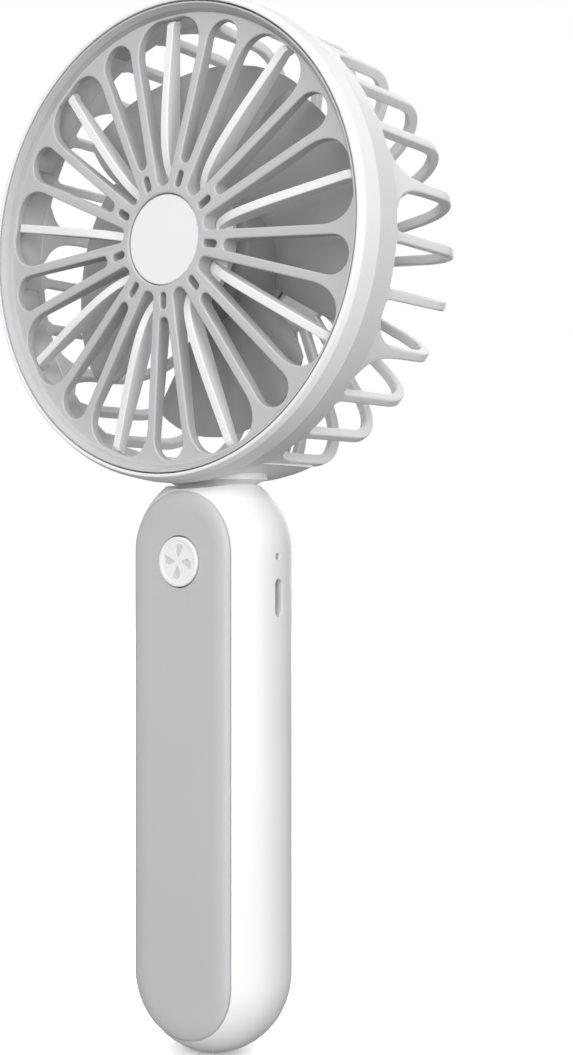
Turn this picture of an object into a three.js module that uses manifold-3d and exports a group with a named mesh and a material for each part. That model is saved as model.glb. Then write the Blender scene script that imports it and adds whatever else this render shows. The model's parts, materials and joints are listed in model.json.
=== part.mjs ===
// Handheld electric fan: a round caged head on a pill-shaped battery handle.
// Millimetres, +Z up. The air leaves towards -Y.
// The origin is the lower end of the handle, on the handle's axis.
import * as THREE from 'three';
import { mergeVertices } from 'three/addons/utils/BufferGeometryUtils.js';
import Module from 'manifold-3d';

const wasm = await Module();
wasm.setup();

// ---------- driving dimensions ----------
const GAP = 0.3; // clearance between pieces that touch

// Handle: every slice across Y is a pill shape, and its half width follows a superellipse.
const HANDLE_HALF_WIDTH = 17.25;
const HANDLE_HALF_DEPTH = 14.15;
const HANDLE_ROUNDNESS = 2.17; // superellipse exponent
const HANDLE_STRAIGHT = 88.25; // between the centres of its round ends
const HANDLE_WALL = 1.6;
const SEAM_Y = -10.1; // where the front panel meets the shell
const PANEL_FRONT_Y = -11.5;
const PANEL_FLAT_HALF_WIDTH = 8.8; // the panel's flat middle, inside its crowned edge
const PANEL_FLANGE = 9.8; // half width of the flange that locates the panel in the shell
const PANEL_FLANGE_BACK = -8.8;

// Button and charging socket
const BUTTON_RADIUS = 5.2;
const BUTTON_Z = 103.5;
const BUTTON_PROUD = 0.35;
const SOCKET_Z = 96.1;
const SOCKET_HEIGHT = 7.8;
const SOCKET_WIDTH = 2.8;
const LIGHT_Z = 104.6;
const LIGHT_Y = -0.3;
const LIGHT_RADIUS = 0.4;

// Head: depths are measured back from the plane of its front rim.
const HEAD_FRONT_Y = -16.7;
const HEAD_Z = 169.3;
const BAND_RADIUS = 49.6;
const BAND_DEPTH = 12.9;
const BAND_INNER_RADIUS = 46.6;
const GRILLE_RADIUS = 47.5;
const GRILLE_FACE = 0.6;
const GRILLE_BACK = 4.2;

// Petal pattern of the front grille and the ribs of the rear cage
const PETALS = 9;
const RIBS_PER_PETAL = 3;
const FIRST_FIN = THREE.MathUtils.degToRad(50);
const RIB_WIDTH = 1.5;
const RIB_THICKNESS = 2.1;
const RIB_RADIUS = 48.4;
const RIB_BEND = 12.5;
const CAGE_BACK = 43.5;
const FIN_THICKNESS = 2;
const CAP_RADIUS = 9.2;
const SPIDER_BACK = 6.2;
const SPINE_WIDTH = 3.4; // the stout rib over the neck, which the motor leads follow
const RING_SIDES = 56;

// Rear hub, motor and impeller
const HUB_RADIUS = 15;
const HUB_FRONT = 27;
const HUB_FLOOR = 41;
const IMPELLER_RADIUS = 39.6;
const IMPELLER_HUB_RADIUS = 13.7;
const BLADES = 4;
const FIRST_BLADE = THREE.MathUtils.degToRad(71);
const SHAFT_RADIUS = 1;
const MOTOR_SCREWS = 3;
const MOTOR_SCREW_CIRCLE = 9.2;
const POST_RADIUS = 3;
const REAR_CAP_RADIUS = 11.2;
const WINDING_INNER = 4.6;
const WINDING_OUTER = 8.4;
const BASE_BACK = 32; // rear face of the motor's base

// Battery cell, cradle and main board
const CELL_RADIUS = 9.2;
const CELL_LENGTH = 65.2;
const CELL_BOTTOM = 17;
const CELL_Y = 0.8;
const BOARD_BACK_Y = -1.6;
const BOARD_THICKNESS = 1;
const LEAD_RADIUS = 0.55;
const LEAD_SIDES = 6;
const NECK_Y = 3.5;
const NECK_HALF = [10.8, 6.5]; // half width and half depth
const SPIGOT_HALF = [8.5, 4.4];
const SPIGOT_LENGTH = 9.5;
const NECK_SCREW_X = 4.5;
const NECK_SCREW_Z = 110.6;
const CRADLE_WALL_Y = 8.4;
const BOARD_SCREW_X = 6.6;
const BOARD_SCREW_Z = 88.6;
const SCREW_HEAD_RADIUS = 1.9;
const SCREW_RADIUS = 0.9;
const SCREW_HOLE_RADIUS = SCREW_RADIUS + GAP;

// ---------- derived dimensions ----------
const PETAL_PITCH = 2 * Math.PI / PETALS;
const LOWER_CENTRE = HANDLE_HALF_WIDTH;
const UPPER_CENTRE = LOWER_CENTRE + HANDLE_STRAIGHT;
const CELL_TOP = CELL_BOTTOM + CELL_LENGTH;
const BOARD_FRONT_Y = BOARD_BACK_Y - BOARD_THICKNESS;
const NECK_BOTTOM = HEAD_Z - BAND_RADIUS - 2.5;

// ---------- colours ----------
const plastic = (color) => new THREE.MeshStandardMaterial({ color, roughness: 0.45, metalness: 0 });
const metal = (color) => new THREE.MeshStandardMaterial({ color, roughness: 0.3, metalness: 1 });
const WHITE = 0xf2f2f2;
const GREY = 0xbdbec0;
const BLADE_GREY = 0x9fa1a4;
const BOARD_GREEN = 0x2f6b46;
const COPPER = 0xb8713a;
const STEEL = 0xb9bcc0;
const LAMINATION = 0x77797c;
const BRASS = 0xc9a550;
const BRONZE = 0xb08a4a;
const INNER_GREY = 0xd2d2d4;
const BLACK = 0x2a2a2d;
const CELL_BLUE = 0x3f6fae;
const LED_CREAM = 0xf4f1de;
const CLEAR = 0xdfe3e6;
const LEAD_RED = 0xb02a25;

// ---------- solids and cuts ----------
// The triangles of a geometry, with vertices closer than the tolerance merged and the faces turned outwards.
function closedMesh(geometry, tolerance) {
  const merged = mergeVertices(geometry, tolerance);
  const vertProperties = new Float32Array(merged.attributes.position.array);
  const triangles = [];
  const index = merged.index.array;
  for (let i = 0; i < index.length; i += 3) {
    const [a, b, c] = [index[i], index[i + 1], index[i + 2]];
    if (a !== b && b !== c && a !== c) triangles.push(a, b, c);
  }
  const corner = (i) => new THREE.Vector3().fromArray(vertProperties, 3 * i);
  let volume = 0;
  for (let i = 0; i < triangles.length; i += 3) {
    volume += corner(triangles[i]).dot(corner(triangles[i + 1]).cross(corner(triangles[i + 2])));
  }
  const triVerts = new Uint32Array(volume < 0 ? triangles.reverse() : triangles);
  return new wasm.Mesh({ numProp: 3, vertProperties, triVerts });
}

// A closed geometry as a solid. Rounding can part equal vertices at one tolerance, so others follow.
function solid(geometry) {
  const bare = geometry.index ? geometry.toNonIndexed() : geometry.clone();
  for (const name of Object.keys(bare.attributes)) {
    if (name !== 'position') bare.deleteAttribute(name);
  }
  const tolerances = [1e-4, 2.7e-4, 7.1e-4, 1.9e-3, 3.3e-3];
  for (const tolerance of tolerances) {
    try {
      return new wasm.Manifold(closedMesh(bare, tolerance));
    } catch (error) {
      if (tolerance === tolerances.at(-1)) throw error;
    }
  }
}

const joined = (first, ...others) => others.reduce((whole, other) => whole.add(solid(other)), solid(first));
const cut = (whole, ...tools) => tools.reduce((left, tool) => left.subtract(solid(tool)), whole);

function geometryOf(manifold) {
  const { vertProperties, triVerts, numProp } = manifold.getMesh();
  const geometry = new THREE.BufferGeometry();
  const position = new Float32Array(vertProperties.length / numProp * 3);
  for (let i = 0; i < position.length / 3; i++) {
    for (let k = 0; k < 3; k++) position[3 * i + k] = vertProperties[numProp * i + k];
  }
  geometry.setAttribute('position', new THREE.BufferAttribute(position, 3));
  geometry.setIndex(new THREE.BufferAttribute(new Uint32Array(triVerts), 1));
  geometry.computeVertexNormals();
  return geometry;
}

const fan = new THREE.Group();
const head = new THREE.Group();
head.position.set(0, HEAD_FRONT_Y, HEAD_Z);
fan.add(head);

function add(parent, name, shape, material) {
  const geometry = shape instanceof THREE.BufferGeometry ? shape : geometryOf(shape);
  const mesh = new THREE.Mesh(geometry, material);
  mesh.name = name;
  parent.add(mesh);
  return mesh;
}

// ---------- shape helpers ----------
const extruded = (shape, depth, curveSegments) =>
  new THREE.ExtrudeGeometry(shape, { depth, bevelEnabled: false, curveSegments });

// A flat outline in X and Z, from one Y to another.
const plate = (shape, fromY, toY, curveSegments = 6) =>
  extruded(shape, toY - fromY, curveSegments).rotateX(Math.PI / 2).translate(0, toY, 0);

// A flat outline in X and Y, from one Z to another.
const column = (shape, fromZ, toZ, curveSegments = 6) =>
  extruded(shape, toZ - fromZ, curveSegments).translate(0, 0, fromZ);

// An outline of radius and depth, given a thickness and turned to an angle about the head's axis.
const radialPlate = (shape, thickness, angle) =>
  extruded(shape, thickness, 3).translate(0, 0, -thickness / 2).rotateY(-angle);

const box = (x0, x1, y0, y1, z0, z1) => new THREE.BoxGeometry(x1 - x0, y1 - y0, z1 - z0)
  .translate((x0 + x1) / 2, (y0 + y1) / 2, (z0 + z1) / 2);

const rodY = (radius, y0, y1, x = 0, z = 0, sides = 20) =>
  new THREE.CylinderGeometry(radius, radius, y1 - y0, sides).translate(x, (y0 + y1) / 2, z);

const rodZ = (radius, z0, z1, x = 0, y = 0, sides = 20) =>
  new THREE.CylinderGeometry(radius, radius, z1 - z0, sides)
    .rotateX(Math.PI / 2).translate(x, y, (z0 + z1) / 2);

const rodX = (radius, x0, x1, y = 0, z = 0, sides = 16) =>
  new THREE.CylinderGeometry(radius, radius, x1 - x0, sides)
    .rotateZ(Math.PI / 2).translate((x0 + x1) / 2, y, z);

// A profile of [radius, y] points turned about the Y axis.
const turned = (profile, sides) =>
  new THREE.LatheGeometry(profile.map(([r, y]) => new THREE.Vector2(r, y)), sides);

// A ring about the Y axis with a square section.
const ring = (inner, outer, y0, y1, sides = 28) =>
  turned([[inner, y0], [outer, y0], [outer, y1], [inner, y1], [inner, y0]], sides);

// The holes for a pair of screws, one on each side of the middle.
const screwPair = (x, z, y0, y1) => [-x, x].map((side) => rodY(SCREW_HOLE_RADIUS, y0, y1, side, z, 8));

const polar = (radius, angle) => [radius * Math.cos(angle), radius * Math.sin(angle)];

// Closed surface through a row of loops that all have the same number of points, with a fan over each end.
function loft(loops) {
  const count = loops[0].length;
  const points = loops.flat();
  const index = [];
  for (let k = 0; k + 1 < loops.length; k++) {
    for (let i = 0; i < count; i++) {
      const j = (i + 1) % count;
      const [a, b, c, d] = [k * count + i, k * count + j, (k + 1) * count + j, (k + 1) * count + i];
      index.push(a, b, c, a, c, d);
    }
  }
  const last = (loops.length - 1) * count;
  for (let i = 1; i + 1 < count; i++) {
    index.push(0, i + 1, i, last, last + i, last + i + 1);
  }
  const geometry = new THREE.BufferGeometry().setFromPoints(points);
  geometry.setIndex(index);
  return geometry;
}

// Closed surface between two grids of points of the same size, walled in round their edges.
function sheetBetween(front, back) {
  const [rows, columns] = [front.length, front[0].length];
  const at = (side, i, j) => (side * rows + i) * columns + j;
  const index = [];
  const quad = (a, b, c, d) => index.push(a, b, c, a, c, d);
  for (let i = 0; i + 1 < rows; i++) {
    for (let j = 0; j + 1 < columns; j++) {
      quad(at(0, i, j), at(0, i, j + 1), at(0, i + 1, j + 1), at(0, i + 1, j));
      quad(at(1, i, j), at(1, i + 1, j), at(1, i + 1, j + 1), at(1, i, j + 1));
    }
    quad(at(0, i, 0), at(0, i + 1, 0), at(1, i + 1, 0), at(1, i, 0));
    quad(at(0, i, columns - 1), at(1, i, columns - 1), at(1, i + 1, columns - 1), at(0, i + 1, columns - 1));
  }
  for (let j = 0; j + 1 < columns; j++) {
    quad(at(0, 0, j), at(1, 0, j), at(1, 0, j + 1), at(0, 0, j + 1));
    quad(at(0, rows - 1, j), at(0, rows - 1, j + 1), at(1, rows - 1, j + 1), at(1, rows - 1, j));
  }
  const geometry = new THREE.BufferGeometry().setFromPoints([...front, ...back].flat());
  geometry.setIndex(index);
  return geometry;
}

// The pill-shaped slice of the handle at one depth.
function pillLoop(halfWidth, y, arcSteps = 10) {
  const loop = [];
  for (const [centre, start] of [[UPPER_CENTRE, 0], [LOWER_CENTRE, Math.PI]]) {
    for (let i = 0; i <= arcSteps; i++) {
      const [x, z] = polar(halfWidth, start + Math.PI * i / arcSteps);
      loop.push(new THREE.Vector3(x, y, centre + z));
    }
  }
  return loop;
}

function superellipse(halfWidth, halfDepth, y) {
  const share = Math.pow(Math.min(Math.abs(y / halfDepth), 1), HANDLE_ROUNDNESS);
  return halfWidth * Math.pow(1 - share, 1 / HANDLE_ROUNDNESS);
}

// Loops over the handle's surface, or over a surface inset from it, from its front rim to its back.
function handleLoops(inset, rimY, steps) {
  const [halfWidth, halfDepth] = [HANDLE_HALF_WIDTH - inset, HANDLE_HALF_DEPTH - inset];
  const start = Math.asin(rimY / halfDepth);
  const end = THREE.MathUtils.degToRad(82);
  const loops = [];
  for (let i = 0; i <= steps; i++) {
    const y = halfDepth * Math.sin(start + (end - start) * i / steps);
    loops.push(pillLoop(superellipse(halfWidth, halfDepth, y), y));
  }
  return loops;
}

// A straight-sided slot outline along one direction, with round ends.
function slotPath(length, width, centreX, centreY, angle) {
  const path = new THREE.Path();
  const [ux, uy] = polar((length - width) / 2, angle);
  path.absarc(centreX + ux, centreY + uy, width / 2, angle - Math.PI / 2, angle + Math.PI / 2);
  path.absarc(centreX - ux, centreY - uy, width / 2, angle + Math.PI / 2, angle + 3 * Math.PI / 2);
  path.closePath();
  return path;
}

// An ellipse about the origin or another centre, as a many-sided outline.
function ellipseShape(halfX, halfY, centreX = 0, centreY = 0, sides = 28) {
  const shape = new THREE.Shape();
  for (let i = 0; i < sides; i++) {
    const [c, s] = polar(1, 2 * Math.PI * i / sides);
    shape[i ? 'lineTo' : 'moveTo'](centreX + halfX * c, centreY + halfY * s);
  }
  shape.closePath();
  return shape;
}
const circleShape = (radius, x = 0, y = 0, sides = 28) => ellipseShape(radius, radius, x, y, sides);

const finAngles = Array.from({ length: PETALS }, (_, k) => FIRST_FIN + k * PETAL_PITCH);

// ---------- rear cage: band, ribs, hub cup and neck in one moulding ----------
function bandGeometry() {
  const [seatRadius, seatDepth] = [GRILLE_RADIUS + GAP, GRILLE_BACK + GAP];
  return turned([
    [seatRadius, -0.2], [48.5, -0.2], [49.1, 1], [BAND_RADIUS, 5.2],
    [48.6, BAND_DEPTH], [BAND_INNER_RADIUS, BAND_DEPTH],
    [BAND_INNER_RADIUS, seatDepth], [seatRadius, seatDepth], [seatRadius, -0.2],
  ], RING_SIDES);
}

// One rib in radius and depth: straight back from the band, round the bend, and in to the hub.
function ribShape() {
  const bendDepth = CAGE_BACK - RIB_BEND;
  const bendRadius = RIB_RADIUS - RIB_BEND;
  const shape = new THREE.Shape();
  shape.moveTo(RIB_RADIUS, BAND_DEPTH - 2.5);
  shape.lineTo(RIB_RADIUS, bendDepth);
  shape.absarc(bendRadius, bendDepth, RIB_BEND, 0, Math.PI / 2, false);
  shape.lineTo(HUB_RADIUS - 1, CAGE_BACK);
  shape.lineTo(HUB_RADIUS - 1, CAGE_BACK - RIB_THICKNESS);
  shape.absarc(bendRadius, bendDepth, RIB_BEND - RIB_THICKNESS, Math.PI / 2, 0, true);
  shape.lineTo(RIB_RADIUS - RIB_THICKNESS, BAND_DEPTH - 2.5);
  return shape;
}

// The curved gusset that spreads from every third rib into the band's rear edge.
function gusset(angle) {
  const [spread, reach, root] = [6.6, 7.5, BAND_DEPTH - 1];
  const half = RIB_WIDTH / 2;
  const shape = new THREE.Shape();
  shape.moveTo(-spread, root);
  shape.quadraticCurveTo(-half - 0.6, BAND_DEPTH + 0.5, -half, BAND_DEPTH + reach);
  shape.lineTo(half, BAND_DEPTH + reach);
  shape.quadraticCurveTo(half + 0.6, BAND_DEPTH + 0.5, spread, root);
  const geometry = extruded(shape, RIB_THICKNESS - 0.3, 3).rotateY(Math.PI / 2);
  return geometry.translate(RIB_RADIUS - RIB_THICKNESS + 0.1, 0, 0).rotateY(-angle);
}

// The solid floor under the cage, which carries the neck and hides the motor leads.
function cageFloor() {
  const [from, to] = [-Math.PI / 2 - PETAL_PITCH / 2, -Math.PI / 2 + PETAL_PITCH / 2];
  const shape = new THREE.Shape();
  shape.absarc(0, 0, RIB_RADIUS + 0.4, from, to, false);
  shape.absarc(0, 0, BAND_INNER_RADIUS + 0.1, to, from, true);
  return plate(shape, BAND_DEPTH - 1, 29.5, 10);
}

function hubCup() {
  const [wallInner, seatRadius, seatDepth] = [HUB_RADIUS - 1.6, REAR_CAP_RADIUS + GAP, CAGE_BACK - 1.2];
  return turned([
    [0, HUB_FLOOR], [wallInner, HUB_FLOOR], [wallInner, HUB_FRONT], [HUB_RADIUS, HUB_FRONT],
    [HUB_RADIUS, CAGE_BACK], [seatRadius, CAGE_BACK], [seatRadius, seatDepth], [0, seatDepth],
  ], 24);
}

const screwAngles = Array.from({ length: MOTOR_SCREWS }, (_, k) => Math.PI * (1 / 2 + 2 * k / MOTOR_SCREWS));

// A rod along the head's axis at each motor screw.
const rodsAtScrews = (radius, y0, y1, sides) =>
  screwAngles.map((angle) => rodY(radius, y0, y1, ...polar(MOTOR_SCREW_CIRCLE, angle), sides));

function rearCage() {
  const ribs = [];
  for (let k = 0; k < PETALS * RIBS_PER_PETAL; k++) {
    ribs.push(radialPlate(ribShape(), RIB_WIDTH, FIRST_FIN + k * PETAL_PITCH / RIBS_PER_PETAL));
  }
  const spine = radialPlate(ribShape(), SPINE_WIDTH, -Math.PI / 2);
  const posts = rodsAtScrews(POST_RADIUS, BASE_BACK + GAP, HUB_FLOOR + 0.5, 12);
  const neckDepth = NECK_Y - HEAD_FRONT_Y;
  const neckFoot = NECK_BOTTOM - HEAD_Z;
  const neck = column(ellipseShape(...NECK_HALF, 0, neckDepth), neckFoot, -BAND_RADIUS + 2);
  const spigot = column(ellipseShape(...SPIGOT_HALF, 0, neckDepth), neckFoot - SPIGOT_LENGTH, neckFoot + 1);
  const bodies = [cageFloor(), hubCup(), spine, ...ribs, ...finAngles.map(gusset), ...posts, neck, spigot];
  const leadNotch = box(-2, 2, 35, 38.5, -HUB_RADIUS - 1, -HUB_RADIUS + 3);
  const leadBore = rodZ(2.9, neckFoot - SPIGOT_LENGTH - 1, -BAND_INNER_RADIUS + 1, 0, neckDepth, 12);
  const clampHoles = screwPair(NECK_SCREW_X, NECK_SCREW_Z - HEAD_Z, 10, 30);
  const counterbores = rodsAtScrews(SCREW_HEAD_RADIUS + GAP, HUB_FLOOR - 0.4, CAGE_BACK, 12);
  const screwHoles = rodsAtScrews(SCREW_HOLE_RADIUS, BASE_BACK, CAGE_BACK, 8);
  const holes = [...counterbores, ...screwHoles, leadNotch, leadBore, ...clampHoles];
  return cut(joined(bandGeometry(), ...bodies), ...holes);
}

// ---------- front grille ----------
// A wide petal along +X: a narrow round inner end, straight sides, and a broad outer end with round corners.
function widePetal(angle) {
  const [innerU, innerHalf, slope, cornerU, outer] = [12.6, 1.65, 0.248, 37, 45.5];
  const halfAt = (u) => innerHalf + slope * (u - innerU);
  const path = new THREE.Path();
  const inner = [0, 1, 2, 3, 4].map((i) => {
    const [c, s] = polar(innerHalf, Math.PI / 2 + Math.PI * i / 4);
    return [innerU + c, -s];
  });
  const corner = new THREE.CubicBezierCurve(
    new THREE.Vector2(cornerU, halfAt(cornerU)), new THREE.Vector2(41.2, halfAt(41.2)),
    new THREE.Vector2(44.6, halfAt(43.6) - 1.9), new THREE.Vector2(...polar(outer, 0.1)));
  const upper = corner.getPoints(5).map((p) => [p.x, p.y]);
  const lower = upper.map(([x, y]) => [x, -y]).reverse();
  const outline = [...inner, ...upper, ...lower];
  outline.forEach(([x, y], i) => {
    const [c, s] = [Math.cos(angle), Math.sin(angle)];
    path[i ? 'lineTo' : 'moveTo'](x * c - y * s, x * s + y * c);
  });
  path.closePath();
  return path;
}

// A narrow petal: two straight sides that open outwards between two round ends.
function narrowPetal(angle) {
  const [innerR, innerHalf, outerR, outerHalf] = [17.1, 1.2, 41.1, 3.8];
  const path = new THREE.Path();
  const [ix, iy] = polar(innerR, angle);
  const [ox, oy] = polar(outerR, angle);
  path.absarc(ox, oy, outerHalf, angle - Math.PI / 2, angle + Math.PI / 2, false);
  path.absarc(ix, iy, innerHalf, angle + Math.PI / 2, angle + 3 * Math.PI / 2, false);
  path.closePath();
  return path;
}

function frontGrille() {
  const shape = circleShape(GRILLE_RADIUS, 0, 0, RING_SIDES);
  shape.holes.push(circleShape(CAP_RADIUS + GAP, 0, 0, 30));
  for (const angle of finAngles) {
    const between = angle + PETAL_PITCH / 2;
    shape.holes.push(widePetal(angle), narrowPetal(between));
    shape.holes.push(slotPath(3.4, 1.5, ...polar(12.5, between), between));
  }
  const face = plate(shape, GRILLE_FACE, GRILLE_BACK, 3);
  const lip = ring(46.2, GRILLE_RADIUS, 0, GRILLE_FACE + 0.5, RING_SIDES);
  const hooks = finAngles.map((angle) => {
    const hook = box(44.9, 46.2, GRILLE_BACK - 0.5, 9.5, -2.5, 2.5);
    return hook.rotateY(-(angle + PETAL_PITCH / 2));
  });
  return joined(face, lip, ...hooks);
}

// ---------- fin spider: nine bowed fins on a hub disc, behind the grille ----------
function finShape() {
  const shape = new THREE.Shape();
  shape.moveTo(8.5, SPIDER_BACK - 0.6);
  shape.lineTo(8.5, GRILLE_BACK + GAP);
  shape.lineTo(11.3, GRILLE_BACK + GAP);
  shape.bezierCurveTo(18, 0.2, 24, -0.75, 31, -0.75);
  shape.quadraticCurveTo(40, -0.75, 44.2, 0.8);
  shape.lineTo(45.1, 2.4);
  shape.lineTo(45.1, GRILLE_BACK + GAP);
  shape.lineTo(46.2, GRILLE_BACK + GAP);
  shape.lineTo(46.2, 5.6);
  return shape;
}

function finSpider() {
  const fins = finAngles.map((angle) => radialPlate(finShape(), FIN_THICKNESS, angle));
  const disc = ring(2.5, HUB_RADIUS - 0.2, GRILLE_BACK + GAP, SPIDER_BACK, 36);
  return joined(disc, ...fins);
}

// ---------- impeller ----------
// One swept, twisted blade from the hub wall to the tip: two skins, closed round the edge.
function blade(angle) {
  const [spanSteps, chordSteps, thickness] = [5, 6, 1.3];
  const skin = (side) => {
    const rows = [];
    for (let i = 0; i <= spanSteps; i++) {
      const s = i / spanSteps;
      const radius = 13 + (IMPELLER_RADIUS - 13) * s;
      const lead = THREE.MathUtils.degToRad(64 + 7 * Math.sin(Math.PI * s));
      const trail = THREE.MathUtils.degToRad(-10 * (1 - s));
      const depthFront = 12.2 - 2.6 * s;
      const depthBack = 23.5 - 2.2 * s;
      const row = [];
      for (let j = 0; j <= chordSteps; j++) {
        const t = j / chordSteps;
        const corner = 1 - 0.06 * Math.pow(2 * t - 1, 4) * s;
        const [x, z] = polar(radius * corner, angle + trail + (lead - trail) * (1 - t));
        const bow = 1.6 * Math.sin(Math.PI * t);
        const depth = depthFront + (depthBack - depthFront) * t + bow + side * thickness / 2;
        row.push(new THREE.Vector3(x, depth, z));
      }
      rows.push(row);
    }
    return rows;
  };
  return sheetBetween(skin(-1), skin(1));
}

function impeller() {
  const [bore, rim, wallInner] = [SHAFT_RADIUS + GAP, IMPELLER_HUB_RADIUS, IMPELLER_HUB_RADIUS - 1.5];
  const hub = turned([
    [bore, 9.4], [4, 8.8], [rim - 2, 9.2], [rim - 0.4, 10], [rim, 11.5],
    [rim, 25.5], [wallInner, 25.5], [wallInner, 11], [3, 11], [3, 12.9], [bore, 12.9], [bore, 9.4],
  ], 28);
  const blades = Array.from({ length: BLADES }, (_, k) => blade(FIRST_BLADE + k * 2 * Math.PI / BLADES));
  return joined(hub, ...blades);
}

// ---------- motor pieces ----------
function statorCore() {
  const shape = new THREE.Shape();
  const teeth = 6;
  for (let k = 0; k < teeth; k++) {
    const middle = k * 2 * Math.PI / teeth;
    const half = [[5, 0.2], [7.4, 0.13], [8.9, 0.42]];
    const outline = [[5, -0.34], ...half.map(([r, offset]) => [r, -offset]), [8.9, 0], ...half.toReversed()];
    outline.forEach(([r, offset], i) => shape[k || i ? 'lineTo' : 'moveTo'](...polar(r, middle + offset)));
  }
  shape.holes.push(circleShape(3.5, 0, 0, 18));
  return plate(shape, 15.5, 21.5);
}

function motorBase() {
  const base = joined(ring(3.5, 13.1, 30, BASE_BACK, 24));
  return cut(base, ...rodsAtScrews(SCREW_HOLE_RADIUS, 29, BASE_BACK + 1, 8));
}

function motorBoard() {
  const board = joined(ring(4, 12.9, 33.2, 34.2, 24));
  return cut(board, ...rodsAtScrews(POST_RADIUS + GAP, 32, 36, 12));
}

// A pan-head screw along Y, from the face of its head to its tip.
function screw(x, z, headY, tipY) {
  const headEnd = headY + Math.sign(tipY - headY) * 1.1;
  const between = (radius, a, b, sides) => rodY(radius, Math.min(a, b), Math.max(a, b), x, z, sides);
  return joined(between(SCREW_HEAD_RADIUS, headY, headEnd, 12), between(SCREW_RADIUS, headY, tipY, 8));
}

// ---------- a lead along a smooth route ----------
function lead(points, radius, steps) {
  const path = new THREE.CatmullRomCurve3(points.map((p) => new THREE.Vector3(...p)), false, 'centripetal');
  const section = circleShape(radius, 0, 0, LEAD_SIDES);
  return new THREE.ExtrudeGeometry(section, { steps, extrudePath: path, bevelEnabled: false });
}

// ---------- handle ----------
function handleShell() {
  const rimY = SEAM_Y + GAP / 2;
  const outer = handleLoops(0, rimY, 9);
  const inner = handleLoops(HANDLE_WALL, rimY, 6).reverse();
  const tub = solid(loft([...inner, ...outer]));
  const saddle = rodY(BAND_RADIUS + 0.8, -30, 30, 0, HEAD_Z, 72);
  const around = ([halfX, halfY], fromZ, toZ) =>
    column(ellipseShape(halfX + GAP, halfY + GAP, 0, NECK_Y), fromZ, toZ);
  const neckPocket = around(NECK_HALF, NECK_BOTTOM - GAP, HEAD_Z - BAND_RADIUS + 1);
  const spigotHole = around(SPIGOT_HALF, UPPER_CENTRE, HEAD_Z - BAND_RADIUS);
  const socketOutline = slotPath(SOCKET_HEIGHT, SOCKET_WIDTH, 0, SOCKET_Z, Math.PI / 2).getPoints(5);
  const socketHole = plate(new THREE.Shape(socketOutline), 12, 20).rotateZ(-Math.PI / 2);
  const lightHole = rodX(LIGHT_RADIUS + GAP, 12, 20, LIGHT_Y, LIGHT_Z, 12);
  return cut(tub, saddle, neckPocket, spigotHole, socketHole, lightHole);
}

function frontPanel() {
  const back = SEAM_Y - GAP / 2;
  const edge = superellipse(HANDLE_HALF_WIDTH, HANDLE_HALF_DEPTH, SEAM_Y);
  const crownDepth = PANEL_FRONT_Y - back;
  const crownWidth = edge - PANEL_FLAT_HALF_WIDTH;
  const loops = [pillLoop(edge, back)];
  for (let i = 1; i <= 5; i++) {
    const t = Math.PI / 2 * i / 5;
    loops.push(pillLoop(edge - crownWidth * (1 - Math.cos(t)), back + crownDepth * Math.sin(t)));
  }
  const pill = (halfWidth, y0, y1) => loft([pillLoop(halfWidth, y0), pillLoop(halfWidth, y1)]);
  const flange = cut(
    solid(pill(PANEL_FLANGE, back - GAP, PANEL_FLANGE_BACK)),
    pill(PANEL_FLANGE - 1, back, PANEL_FLANGE_BACK + 1),
  );
  const buttonHole = rodY(BUTTON_RADIUS + GAP, PANEL_FRONT_Y - 1, -7, 0, BUTTON_Z, 36);
  return cut(solid(loft(loops)).add(flange), buttonHole);
}

function powerButton() {
  const front = PANEL_FRONT_Y - BUTTON_PROUD;
  const [stemRadius, plateBack, stemBack] = [2, -9.6, -8.4];
  const button = turned([
    [0, front], [BUTTON_RADIUS - 0.7, front], [BUTTON_RADIUS, front + 0.4], [BUTTON_RADIUS, plateBack],
    [stemRadius, plateBack], [stemRadius, stemBack], [0, stemBack],
  ], 36);
  return button.translate(0, 0, BUTTON_Z);
}

// Draws an outline that is the same on both sides, from the points of its right side.
function outlined(shape, right) {
  const left = right.map(([x, z]) => [-x, z]).reverse();
  [...right, ...left].forEach(([x, z], i) => shape[i ? 'lineTo' : 'moveTo'](x, z));
}

// The cradle: an open trough for the cell, an end plate, and a back wall with the board's posts.
function cradle() {
  const outer = CELL_RADIUS + GAP + 1.2;
  const inner = CELL_RADIUS + GAP;
  const open = THREE.MathUtils.degToRad(20);
  const trough = new THREE.Shape();
  trough.absarc(0, CELL_Y, outer, -open, Math.PI + open, false);
  trough.absarc(0, CELL_Y, inner, Math.PI + open, -open, true);
  const wall = new THREE.Shape();
  const wallRight = [[9, CELL_TOP - 4], [9, 100], [6.2, 106], [6.2, 112.5]];
  outlined(wall, wallRight);
  const post = (x) => rodY(2, BOARD_BACK_Y + GAP, CRADLE_WALL_Y + 1, x, BOARD_SCREW_Z, 12);
  const whole = joined(
    column(trough, CELL_BOTTOM - 2.4, CELL_TOP + 1, 10),
    column(circleShape(outer - 0.4, 0, CELL_Y), CELL_BOTTOM - 2.4, CELL_BOTTOM - 1, 8),
    plate(wall, CRADLE_WALL_Y, CRADLE_WALL_Y + 1.5),
    post(-BOARD_SCREW_X), post(BOARD_SCREW_X),
  );
  const pilots = screwPair(BOARD_SCREW_X, BOARD_SCREW_Z, -3, 6);
  const clamps = screwPair(NECK_SCREW_X, NECK_SCREW_Z, 7, 12);
  const cellRoom = rodZ(inner, CELL_BOTTOM - 0.7, CELL_TOP + 2, 0, CELL_Y, 40);
  return cut(whole, cellRoom, ...pilots, ...clamps);
}

function mainBoard() {
  const shape = new THREE.Shape();
  outlined(shape, [[11, 85.6], [13.2, 88], [13.2, 104.5], [9.5, 108.2]]);
  const board = solid(plate(shape, BOARD_FRONT_Y, BOARD_BACK_Y));
  return cut(board, ...screwPair(BOARD_SCREW_X, BOARD_SCREW_Z, -5, 0));
}

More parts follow.
